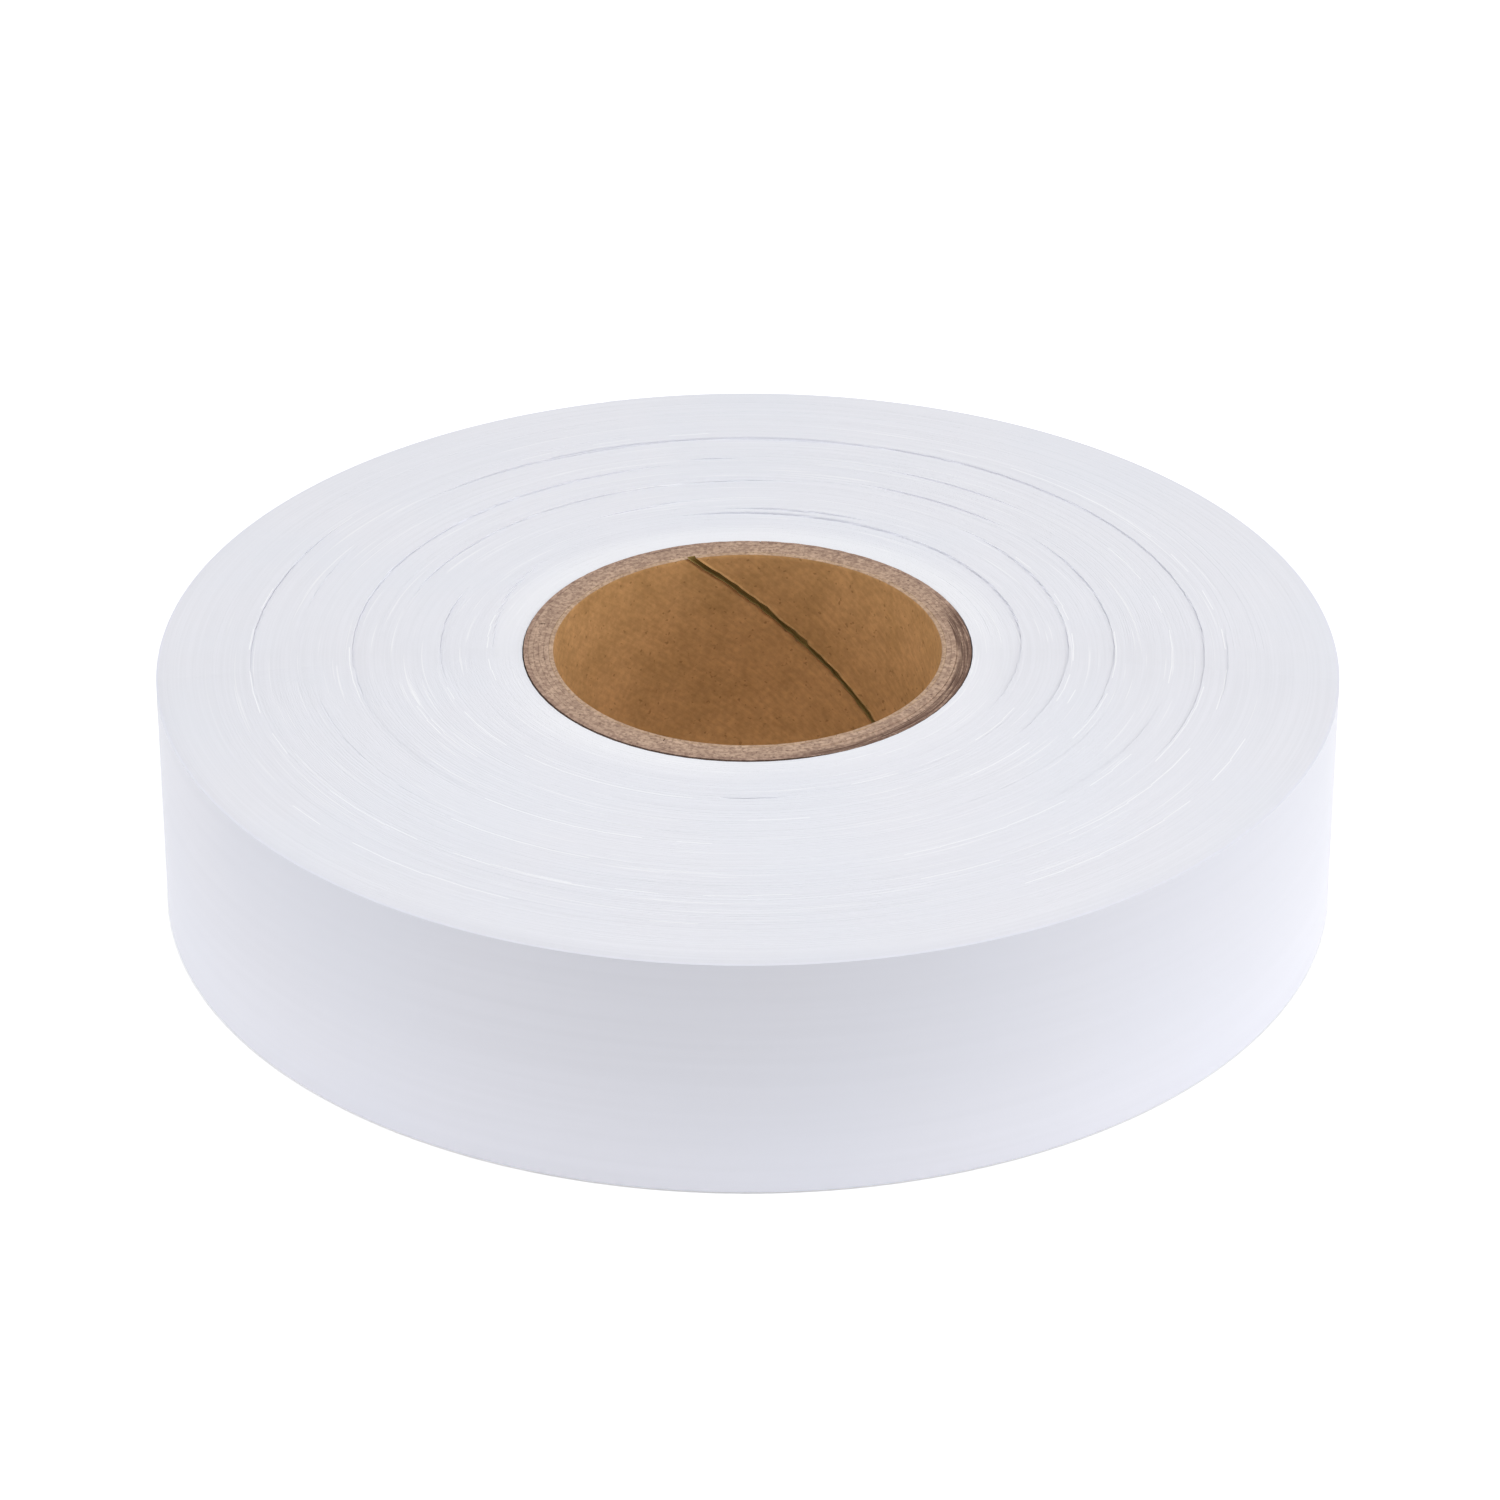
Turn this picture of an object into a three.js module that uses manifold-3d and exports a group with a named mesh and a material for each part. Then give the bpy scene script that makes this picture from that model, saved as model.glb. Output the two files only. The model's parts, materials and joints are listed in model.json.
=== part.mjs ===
// A roll of flagging tape: white plastic film wound on a spiral-wound paper core.
// Millimetres, +Z up. The roll lies on its side with its axis upright, and the origin is where
// that axis meets the ground. Angles run counter-clockwise from +X, seen from above.

import * as THREE from 'three';
import { mergeVertices } from 'three/addons/utils/BufferGeometryUtils.js';
import Module from 'manifold-3d';

const wasm = await Module();
wasm.setup();

// The wound film. Each loop of the model stands for about fourteen turns of the real, thinner film.
const TAPE_WIDTH = 25.4;
const ROLL_DIAMETER = 120; // the mean, across the last turn
const LOOP_THICKNESS = 1.07;
const LOOP_GAP = 0.45; // between one loop and the next
const LOOP_STEPS = 30; // flats in one loop
const CORNER_MARGIN = 0.02; // share of a flat: a corner nearer than this to the film's end is left out
const INNER_RISE = 0.75; // how far the inner turns stand out of the outermost one, at the upper side
const RISE_WIDTH = 12; // the turns climb that far in this width, from the outside of the roll inwards

// The free end of the film, which peels off the roll at the back
const TAIL_LENGTH = 60;
const TAIL_ROOT_GAP = 0.45; // where the free end leaves the wound film
const FREE_END_ANGLE = 105; // degrees

// The paper core: a kraft liner, chipboard plies and a cover ply, each a strip whose edges butt
const CORE_BORE = 40;
const CORE_STAND_OUT_BELOW = 0.4; // past the outermost turn of film, at the lower side
const CORE_STAND_OUT_ABOVE = 0.85; // the same at the upper side
const LINER_THICKNESS = 0.4;
const CHIPBOARD_THICKNESS = 0.48;
const CHIPBOARD_PLIES = 4;
const COVER_THICKNESS = 0.42;
const GLUE_LINE = 0.05; // between two plies
const CORE_FLATS = 60;

// The butt seams of the plies, which climb round the core like a screw thread
const SEAM_WIDTH = 0.45; // square to the seam
const SEAM_LEAD = 106.8; // climb in one turn
const LINER_SEAM_ANGLE = 16.8; // degrees, at the foot of the core
const SEAM_STAGGER = 140; // degrees from one ply's seam to the next
const SEAM_ROWS = 12; // steps along a seam
const SEAM_OVERCUT = 1; // how far a seam's cutter passes the ply's faces

// The line of glue that holds the film's inner end on the core
const PICKUP_GLUE_THICKNESS = 0.14;
const PICKUP_GLUE_LENGTH = 15;
const PICKUP_GLUE_MARGIN = 3; // bare film above and below it
const PICKUP_GLUE_CLEARANCE = 0.08; // to the core and to the film
const PICKUP_GLUE_STEP = 4; // degrees

// Looks
const FILM = { color: 0xe6e7ed, roughness: 0.42, metalness: 0 };
const KRAFT = { color: 0x96703f, roughness: 0.85, metalness: 0 };
const CHIPBOARD = { color: 0xa88c79, roughness: 0.95, metalness: 0 };
const COVER_PAPER = { color: 0x9c7a5c, roughness: 0.9, metalness: 0 };
const DRIED_GLUE = { color: 0xd8cfae, roughness: 0.35, metalness: 0 };

const radians = THREE.MathUtils.degToRad;
const loopPitch = LOOP_THICKNESS + LOOP_GAP;
const loopStep = (2 * Math.PI) / LOOP_STEPS;

const coreHeight = CORE_STAND_OUT_BELOW + TAPE_WIDTH + CORE_STAND_OUT_ABOVE;

// The plies from the bore outwards
const boreRadius = CORE_BORE / 2;
const plyPlan = [
  { name: 'core_liner', thickness: LINER_THICKNESS, look: KRAFT },
  ...Array.from({ length: CHIPBOARD_PLIES }, (_, i) => ({
    name: `core_ply_${i + 1}`,
    thickness: CHIPBOARD_THICKNESS,
    look: CHIPBOARD,
  })),
  { name: 'core_cover', thickness: COVER_THICKNESS, look: COVER_PAPER },
];
const wallThickness = plyPlan.reduce((sum, ply) => sum + ply.thickness, 0) + GLUE_LINE * (plyPlan.length - 1);
const coreRadius = boreRadius + wallThickness;

// The film is a flat-sided spiral. Its first loop clears the core and the glue in the middle of a flat too.
const glueSpace = PICKUP_GLUE_THICKNESS + 2 * PICKUP_GLUE_CLEARANCE;
const firstRadius = (coreRadius + glueSpace) / Math.cos(loopStep / 2);
const lastRadius = ROLL_DIAMETER / 2 + loopPitch / 2 - LOOP_THICKNESS;
const loops = (lastRadius - firstRadius) / loopPitch;
const freeEndAngle = radians(FREE_END_ANGLE);
const startAngle = freeEndAngle - loops * 2 * Math.PI;
const filmRadius = (angle) => firstRadius + (loopPitch * (angle - startAngle)) / (2 * Math.PI);
const filmLow = (angle) => {
  const depth = (lastRadius - filmRadius(angle)) / RISE_WIDTH;
  return CORE_STAND_OUT_BELOW + INNER_RISE * THREE.MathUtils.clamp(depth, 0, 1);
};
const tailRootAngle = freeEndAngle - TAIL_LENGTH / (lastRadius + LOOP_THICKNESS / 2);
const woundEndAngle = tailRootAngle - TAIL_ROOT_GAP / filmRadius(tailRootAngle);

// Closed mesh from points and triangles, with the triangles turned to face out
function closedGeometry(points, triangles) {
  const volume = triangles.reduce((sum, [a, b, c]) => {
    const normal = new THREE.Vector3().crossVectors(points[b], points[c]);
    return sum + points[a].dot(normal);
  }, 0);
  const facingOut = volume > 0 ? triangles : triangles.map(([a, b, c]) => [a, c, b]);
  const geometry = new THREE.BufferGeometry().setFromPoints(points);
  geometry.setIndex(facingOut.flat());
  geometry.computeVertexNormals();
  return geometry;
}

// Closed mesh from equal rings of points, joined in turn and capped at both ends
function loft(rings) {
  const sides = rings[0].length;
  const triangles = [];
  for (let row = 0; row + 1 < rings.length; row += 1) {
    for (let i = 0; i < sides; i += 1) {
      const next = (i + 1) % sides;
      const low = row * sides;
      const high = low + sides;
      triangles.push([low + i, low + next, high + next], [low + i, high + next, high + i]);
    }
  }
  const last = (rings.length - 1) * sides;
  for (let i = 1; i + 1 < sides; i += 1) {
    triangles.push([0, i + 1, i], [last, last + i, last + i + 1]);
  }
  return closedGeometry(rings.flat(), triangles);
}

function polar(radius, angle, z) {
  return new THREE.Vector3(radius * Math.cos(angle), radius * Math.sin(angle), z);
}

// Corners of the spiral from one angle to the other: both ends, and between them those that all loops share
function spiralCorners(from, to) {
  const first = Math.ceil((from - startAngle) / loopStep + CORNER_MARGIN);
  const last = Math.floor((to - startAngle) / loopStep - CORNER_MARGIN);
  const count = Math.max(0, last - first + 1);
  const shared = Array.from({ length: count }, (_, i) => startAngle + (first + i) * loopStep);
  return [from, ...shared, to];
}

// A strip stood on edge and bent round the axis. Its inner radius and its foot may change with the angle.
function bentStrip(angles, innerRadius, thickness, foot, width) {
  return loft(
    angles.map((angle) => {
      const inner = innerRadius(angle);
      const outer = inner + thickness;
      const low = foot(angle);
      const high = low + width;
      return [
        polar(inner, angle, low),
        polar(outer, angle, low),
        polar(outer, angle, high),
        polar(inner, angle, high),
      ];
    }),
  );
}

function toSolid(geometry) {
  const bare = geometry.clone();
  bare.deleteAttribute('normal');
  bare.deleteAttribute('uv');
  const merged = mergeVertices(bare, 1e-4);
  return new wasm.Manifold(
    new wasm.Mesh({
      numProp: 3,
      vertProperties: new Float32Array(merged.attributes.position.array),
      triVerts: new Uint32Array(merged.index.array),
    }),
  );
}

function toGeometry(solid) {
  const mesh = solid.getMesh();
  const geometry = new THREE.BufferGeometry();
  geometry.setAttribute('position', new THREE.BufferAttribute(mesh.vertProperties, mesh.numProp));
  geometry.setIndex(new THREE.BufferAttribute(mesh.triVerts, 1));
  geometry.computeVertexNormals();
  return geometry;
}

// A full ring of paper, as high as the core
function plyRing(inner, outer) {
  const profile = [
    [inner, 0],
    [outer, 0],
    [outer, coreHeight],
    [inner, coreHeight],
    [inner, 0],
  ];
  const ring = new THREE.LatheGeometry(
    profile.map(([radius, height]) => new THREE.Vector2(radius, height)),
    CORE_FLATS,
  );
  return ring.rotateX(Math.PI / 2);
}

// A thin screw-shaped blade along a ply's butt seam, which starts at the given angle at the core's foot
function seamBlade(inner, outer, footAngle) {
  const climb = (2 * Math.PI) / SEAM_LEAD;
  const middle = (inner + outer) / 2;
  const sideways = SEAM_WIDTH * Math.hypot(1, middle * climb); // the seam's width along the circumference
  const halfAngle = sideways / 2 / middle;
  const rows = Array.from({ length: SEAM_ROWS + 1 }, (_, i) =>
    THREE.MathUtils.lerp(-SEAM_OVERCUT, coreHeight + SEAM_OVERCUT, i / SEAM_ROWS),
  );
  return loft(
    rows.map((z) => {
      const angle = footAngle + climb * z;
      return [
        polar(inner - SEAM_OVERCUT, angle - halfAngle, z),
        polar(outer + SEAM_OVERCUT, angle - halfAngle, z),
        polar(outer + SEAM_OVERCUT, angle + halfAngle, z),
        polar(inner - SEAM_OVERCUT, angle + halfAngle, z),
      ];
    }),
  );
}

function plyGeometry(inner, outer, footAngle) {
  return toGeometry(toSolid(plyRing(inner, outer)).subtract(toSolid(seamBlade(inner, outer, footAngle))));
}

function piece(name, geometry, look) {
  const mesh = new THREE.Mesh(geometry, new THREE.MeshStandardMaterial(look));
  mesh.name = name;
  return mesh;
}

function paperCore() {
  const core = new THREE.Group();
  let inner = boreRadius;
  plyPlan.forEach((ply, i) => {
    const outer = inner + ply.thickness;
    const footAngle = radians(LINER_SEAM_ANGLE + i * SEAM_STAGGER);
    core.add(piece(ply.name, plyGeometry(inner, outer, footAngle), ply.look));
    inner = outer + GLUE_LINE;
  });
  return core;
}

function pickupGlue() {
  const inner = coreRadius + PICKUP_GLUE_CLEARANCE;
  const sweep = PICKUP_GLUE_LENGTH / inner;
  const steps = Math.ceil(sweep / radians(PICKUP_GLUE_STEP));
  const angles = Array.from({ length: steps + 1 }, (_, i) => startAngle + (sweep * i) / steps);
  const foot = filmLow(startAngle) + PICKUP_GLUE_MARGIN;
  const width = TAPE_WIDTH - 2 * PICKUP_GLUE_MARGIN;
  const strip = bentStrip(angles, () => inner, PICKUP_GLUE_THICKNESS, () => foot, width);
  return piece('pickup_glue', strip, DRIED_GLUE);
}

const woundAngles = spiralCorners(startAngle, woundEndAngle);
const tailAngles = spiralCorners(tailRootAngle, freeEndAngle);

function film(name, angles) {
  return piece(name, bentStrip(angles, filmRadius, LOOP_THICKNESS, filmLow, TAPE_WIDTH), FILM);
}

// Least distance from the outer face of each loop to the inner face of the loop over it
function leastLoopGap(angles) {
  const inner = angles.map((angle) => polar(filmRadius(angle), angle, 0));
  const outer = angles.map((angle) => polar(filmRadius(angle) + LOOP_THICKNESS, angle, 0));
  const nearest = new THREE.Vector3();
  let least = Infinity;
  outer.forEach((point, i) => {
    for (let j = i + LOOP_STEPS / 2; j + 1 < inner.length; j += 1) {
      new THREE.Line3(inner[j], inner[j + 1]).closestPointToPoint(point, true, nearest);
      least = Math.min(least, point.distanceTo(nearest));
    }
  });
  return least;
}

const roll = new THREE.Group();
roll.name = 'flagging_tape_roll';
roll.add(paperCore(), pickupGlue(), film('wound_tape', woundAngles), film('tape_tail', tailAngles));

const leastGap = leastLoopGap([...woundAngles, ...tailAngles]);
console.log(`wound_tape: ${loops.toFixed(2)} loops, least gap to itself ${leastGap.toFixed(3)} mm`);

export default roll;
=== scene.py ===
"""Looks of a flagging tape roll: white film wound on a spiral-wound paper core.

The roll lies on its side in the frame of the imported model: the Z axis is its own axis and the origin
is on the surface that it lies on. Angles run counter-clockwise from +X, seen from above, in degrees.
Sizes of the roll are in millimetres, and MM turns them into Blender's metres where a mesh is made.
"""

import json
import logging
import math
from collections.abc import Sequence
from dataclasses import dataclass
from enum import Enum, IntEnum
from typing import ClassVar

import bpy
import numpy as np
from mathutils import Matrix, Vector


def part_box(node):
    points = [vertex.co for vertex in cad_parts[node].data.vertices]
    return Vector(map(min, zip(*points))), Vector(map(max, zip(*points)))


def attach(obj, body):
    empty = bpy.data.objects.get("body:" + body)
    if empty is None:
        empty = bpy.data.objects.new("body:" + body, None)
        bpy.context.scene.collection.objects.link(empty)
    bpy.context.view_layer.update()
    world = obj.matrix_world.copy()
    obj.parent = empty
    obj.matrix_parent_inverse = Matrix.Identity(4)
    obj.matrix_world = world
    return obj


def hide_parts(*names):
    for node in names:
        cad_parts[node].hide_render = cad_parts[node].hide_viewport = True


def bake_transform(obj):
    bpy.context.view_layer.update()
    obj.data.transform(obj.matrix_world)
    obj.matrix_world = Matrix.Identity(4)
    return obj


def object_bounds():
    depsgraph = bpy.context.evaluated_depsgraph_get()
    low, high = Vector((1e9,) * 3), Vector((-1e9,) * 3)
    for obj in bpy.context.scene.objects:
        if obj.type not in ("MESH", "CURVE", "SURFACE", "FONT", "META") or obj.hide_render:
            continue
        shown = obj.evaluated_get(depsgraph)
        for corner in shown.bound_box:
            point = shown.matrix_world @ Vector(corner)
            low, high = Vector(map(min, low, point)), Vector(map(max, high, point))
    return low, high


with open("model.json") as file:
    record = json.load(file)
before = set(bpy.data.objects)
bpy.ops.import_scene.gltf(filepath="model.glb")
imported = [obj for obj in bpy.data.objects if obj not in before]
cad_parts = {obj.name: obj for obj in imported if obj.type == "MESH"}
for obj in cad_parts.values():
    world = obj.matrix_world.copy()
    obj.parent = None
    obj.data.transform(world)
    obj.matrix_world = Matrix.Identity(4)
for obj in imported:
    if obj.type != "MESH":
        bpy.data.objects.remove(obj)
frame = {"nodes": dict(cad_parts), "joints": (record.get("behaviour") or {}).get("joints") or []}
CAD_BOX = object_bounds()

MM = 0.001
# How far the core is pressed out of round, in millimetres
CORE_OVAL = 0.2
LOG = logging.getLogger("flagging_tape_roll")

Colour = tuple[float, float, float]
Place = tuple[float, float, float]
Range = tuple[float, float]
Socket = bpy.types.NodeSocket

# Ranges that hold most of a noise's values, and most of its upper ones
MOST_NOISE: Range = (0.3, 0.7)
UPPER_NOISE: Range = (0.35, 0.7)
BLUE_GAIN = 1.01


def smooth_step(x: np.ndarray) -> np.ndarray:
    """Eases from 0 to 1 as x goes from 0 to 1."""
    t = np.clip(x, 0.0, 1.0)
    return t * t * (3.0 - 2.0 * t)


def eased(along: np.ndarray, span: float, ease: float) -> np.ndarray:
    """A share that is 1 along a span and eases to 0 at both of its ends."""
    return smooth_step(along / ease) * smooth_step((span - along) / ease)


def polar(radius: np.ndarray, angle: np.ndarray, height: np.ndarray) -> np.ndarray:
    """Points from radius, angle in degrees and height, with the three coordinates on a last axis."""
    turn = np.radians(angle)
    return np.stack(np.broadcast_arrays(radius * np.cos(turn), radius * np.sin(turn), height), -1)


def ring_noise(angle: np.ndarray, seed: int, slowest: int, fastest: int) -> np.ndarray:
    """Smooth noise of about unit size that closes on itself after a turn.

    Args:
        angle: Angles in degrees.
        seed: Which noise.
        slowest: Fewest waves in a turn.
        fastest: Most waves in a turn.

    Returns:
        The noise at each angle.
    """
    rng = np.random.default_rng(seed)
    waves = np.arange(slowest, fastest + 1)
    size = rng.normal(size=waves.size)
    phase = rng.uniform(0.0, 2.0 * np.pi, waves.size)
    turn = np.radians(angle)
    total = sum(s * np.cos(w * turn + p) for s, w, p in zip(size, waves, phase))
    return total / math.sqrt(waves.size / 2.0)


def make_piece(name: str, points: np.ndarray, faces: Sequence[Sequence[int]]) -> bpy.types.Object:
    """Makes a smooth mesh object.

    Args:
        name: The piece's name.
        points: Its points in millimetres.
        faces: Its faces, as rows of point numbers.

    Returns:
        The new object, linked into the scene.
    """
    mesh = bpy.data.meshes.new(name)
    mesh.from_pydata((points.reshape(-1, 3) * MM).tolist(), [], [list(face) for face in faces])
    mesh.update()
    mesh.shade_smooth()
    piece = bpy.data.objects.new(name, mesh)
    bpy.context.scene.collection.objects.link(piece)
    return piece


def band_faces(columns: int, sides: int) -> np.ndarray:
    """Quads of a closed band made of sections, each joined to the next.

    Args:
        columns: Number of sections.
        sides: Points in a section.

    Returns:
        Rows of point numbers, section by section.
    """
    first = np.arange(columns - 1)[:, None] * sides + np.arange(sides)
    after = np.arange(columns - 1)[:, None] * sides + (np.arange(sides) + 1) % sides
    return np.stack([first, first + sides, after + sides, after], -1).reshape(-1, 4)


def sharpen(piece: bpy.types.Object, groups: np.ndarray, ends: np.ndarray | None = None) -> None:
    """Keeps the edges between neighbours of the same group sharp.

    Args:
        piece: The mesh object.
        groups: One number per point. An edge whose two points share a number from 0 up is sharp.
        ends: Which points lie on a cut end. An edge between two of them is sharp as well.
    """
    mesh = piece.data
    pairs = np.empty(len(mesh.edges) * 2, np.int32)
    mesh.edges.foreach_get("vertices", pairs)
    pairs = pairs.reshape(-1, 2)
    first, second = groups[pairs].T
    sharp = (first == second) & (first >= 0)
    if ends is not None:
        sharp |= ends[pairs].all(1)
    attribute = mesh.attributes.new("sharp_edge", "BOOLEAN", "EDGE")
    attribute.data.foreach_set("value", sharp)


def oval(angle: np.ndarray) -> np.ndarray:
    """How far the core is pressed out of round at each angle, in millimetres."""
    return -CORE_OVAL * np.cos(2.0 * np.radians(angle))


def ring_radii(node: str) -> tuple[float, float]:
    """Least and greatest distance of a CAD node's points from the roll's axis, in millimetres.

    Args:
        node: The CAD node's name.

    Returns:
        The two distances.
    """
    vertices = frame["nodes"][node].data.vertices
    places = np.empty(len(vertices) * 3, np.float32)
    vertices.foreach_get("co", places)
    radius = np.hypot(*places.reshape(-1, 3)[:, :2].T) / MM
    return float(radius.min()), float(radius.max())


class NodeSheet:
    """The nodes of one material, with short calls for the kinds that the finishes use."""

    def __init__(self, name: str, roughness: float, specular: float) -> None:
        """Starts a material with one Principled surface.

        Args:
            name: The material's name.
            roughness: Its roughness where no node changes it.
            specular: Its specular level.
        """
        self.material = bpy.data.materials.new(name)
        self.material.use_nodes = True
        self.tree = self.material.node_tree
        self.surface = self.tree.nodes["Principled BSDF"]
        self.surface.inputs["Roughness"].default_value = roughness
        self.surface.inputs["Specular IOR Level"].default_value = specular
        self.place = self.tree.nodes.new("ShaderNodeTexCoord").outputs["Object"]

    def feed(self, socket: Socket, value: Socket | float | Sequence[float]) -> None:
        """Links a socket to another one, or sets it to a value.

        Args:
            socket: The socket that is fed.
            value: A socket to link, or the value to set.
        """
        if isinstance(value, bpy.types.NodeSocket):
            self.tree.links.new(value, socket)
        else:
            socket.default_value = value

    def math(self, operation: str, first: Socket | float, second: Socket | float = 0.0) -> Socket:
        """Result of one sum on two numbers.

        Args:
            operation: Blender's name of the sum.
            first: The first number.
            second: The second number.

        Returns:
            The result.
        """
        node = self.tree.nodes.new("ShaderNodeMath")
        node.operation = operation
        self.feed(node.inputs[0], first)
        self.feed(node.inputs[1], second)
        return node.outputs[0]

    def vector(self, x: Socket | float, y: Socket | float, z: Socket | float) -> Socket:
        """A vector from three numbers.

        Args:
            x: Its first part.
            y: Its second part.
            z: Its third part.

        Returns:
            The vector.
        """
        node = self.tree.nodes.new("ShaderNodeCombineXYZ")
        for socket, value in zip(node.inputs, (x, y, z)):
            self.feed(socket, value)
        return node.outputs[0]

    def parts(self) -> tuple[Socket, Socket, Socket]:
        """The place's three coordinates.

        Returns:
            X, Y and Z in the object's own frame.
        """
        node = self.tree.nodes.new("ShaderNodeSeparateXYZ")
        self.tree.links.new(self.place, node.inputs[0])
        return node.outputs[0], node.outputs[1], node.outputs[2]

    def around(self) -> tuple[Socket, Socket, Socket, Socket]:
        """The place round the roll's axis.

        Returns:
            The radius, the cosine and sine of the angle, and the height.
        """
        x, y, z = self.parts()
        square = self.math("ADD", self.math("MULTIPLY", x, x), self.math("MULTIPLY", y, y))
        radius = self.math("SQRT", square)
        return radius, self.math("DIVIDE", x, radius), self.math("DIVIDE", y, radius), z

    def facing(self, way: Sequence[Socket], side: float) -> Socket:
        """Cosine of the angle between a place and a side of the roll, which is given in degrees."""
        ahead = self.math("MULTIPLY", way[0], math.cos(math.radians(side)))
        return self.math("ADD", ahead, self.math("MULTIPLY", way[1], math.sin(math.radians(side))))

    def noise(self, place: Socket, scale: float, detail: float = 2.0) -> Socket:
        """Fractal noise from 0 to 1, with the scale in waves per unit of the place.

        Args:
            place: Where the noise is read.
            scale: Waves per unit of the place.
            detail: How finely the noise is divided.

        Returns:
            The noise.
        """
        node = self.tree.nodes.new("ShaderNodeTexNoise")
        self.tree.links.new(place, node.inputs["Vector"])
        node.inputs["Scale"].default_value = scale
        node.inputs["Detail"].default_value = detail
        return node.outputs[0]

    def drawn_noise(
        self, way: Sequence[Socket], spread: float, across: Socket, waves: float, detail: float = 3.0
    ) -> Socket:
        """Noise that is drawn out along the turns of the roll.

        Args:
            way: Cosine and sine of the angle round the roll.
            spread: Waves along a turn, for each radian.
            across: Distance across the turns.
            waves: Waves per metre of that distance.
            detail: How finely the noise is divided.

        Returns:
            The noise, from 0 to 1.
        """
        pairs = ((way[0], spread), (way[1], spread), (across, waves))
        return self.noise(self.vector(*(self.math("MULTIPLY", *pair) for pair in pairs)), 1.0, detail)

    def span(self, value: Socket, low: float, high: float, start: float = 0.0, end: float = 1.0) -> Socket:
        """Carries the range from low to high smoothly onto the range from start to end.

        Args:
            value: The number to carry over.
            low: Where its range begins.
            high: Where its range ends.
            start: Result at the low end.
            end: Result at the high end.

        Returns:
            The result, held within start and end.
        """
        node = self.tree.nodes.new("ShaderNodeMapRange")
        node.interpolation_type = "SMOOTHSTEP"
        for socket, number in zip(node.inputs, (value, low, high, start, end)):
            self.feed(socket, number)
        return node.outputs[0]

    def mix(
        self, share: Socket | float, first: Socket | Colour, second: Socket | Colour, blend: str = "MIX"
    ) -> Socket:
        """Goes from the first colour to the second, or to their blend, with the share.

        Args:
            share: From 0 to 1.
            first: The colour at 0.
            second: The colour at 1, or the one blended in.
            blend: Blender's name of the blend.

        Returns:
            The mixed colour.
        """
        node = self.tree.nodes.new("ShaderNodeMix")
        node.data_type = "RGBA"
        node.blend_type = blend
        self.feed(node.inputs[0], share)
        for socket, colour in ((node.inputs[6], first), (node.inputs[7], second)):
            self.feed(socket, colour if isinstance(colour, bpy.types.NodeSocket) else (*colour, 1.0))
        return node.outputs[2]

    def bump(self, height: Socket, depth: float, strength: float = 1.0) -> None:
        """Roughens the surface.

        Args:
            height: Relief from 0 to 1.
            depth: What a relief of 1 stands for, in millimetres.
            strength: Share of the relief that is used.
        """
        node = self.tree.nodes.new("ShaderNodeBump")
        node.inputs["Strength"].default_value = strength
        node.inputs["Distance"].default_value = depth * MM
        self.tree.links.new(height, node.inputs["Height"])
        self.tree.links.new(node.outputs[0], self.surface.inputs["Normal"])

    def finish(self, colour: Socket, roughness: Socket | None = None) -> bpy.types.Material:
        """Links the colour and the roughness to the surface and returns the material.

        Args:
            colour: The surface's colour.
            roughness: Its roughness, where it varies.

        Returns:
            The finished material.
        """
        self.tree.links.new(colour, self.surface.inputs["Base Color"])
        if roughness is not None:
            self.tree.links.new(roughness, self.surface.inputs["Roughness"])
        return self.material


def scaled(colour: Colour, share: float) -> Colour:
    """The colour, made darker or lighter."""
    return tuple(share * part for part in colour)


def shades(colour: Colour, shade: float) -> tuple[Colour, Colour]:
    """A darker and a lighter shade of the colour."""
    return scaled(colour, 1.0 - shade), scaled(colour, 1.0 + shade)


def cooled(colour: Colour, shade: float) -> Colour:
    """The colour with less red and a little more blue."""
    return colour[0] * (1.0 - shade), colour[1], colour[2] * BLUE_GAIN


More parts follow.
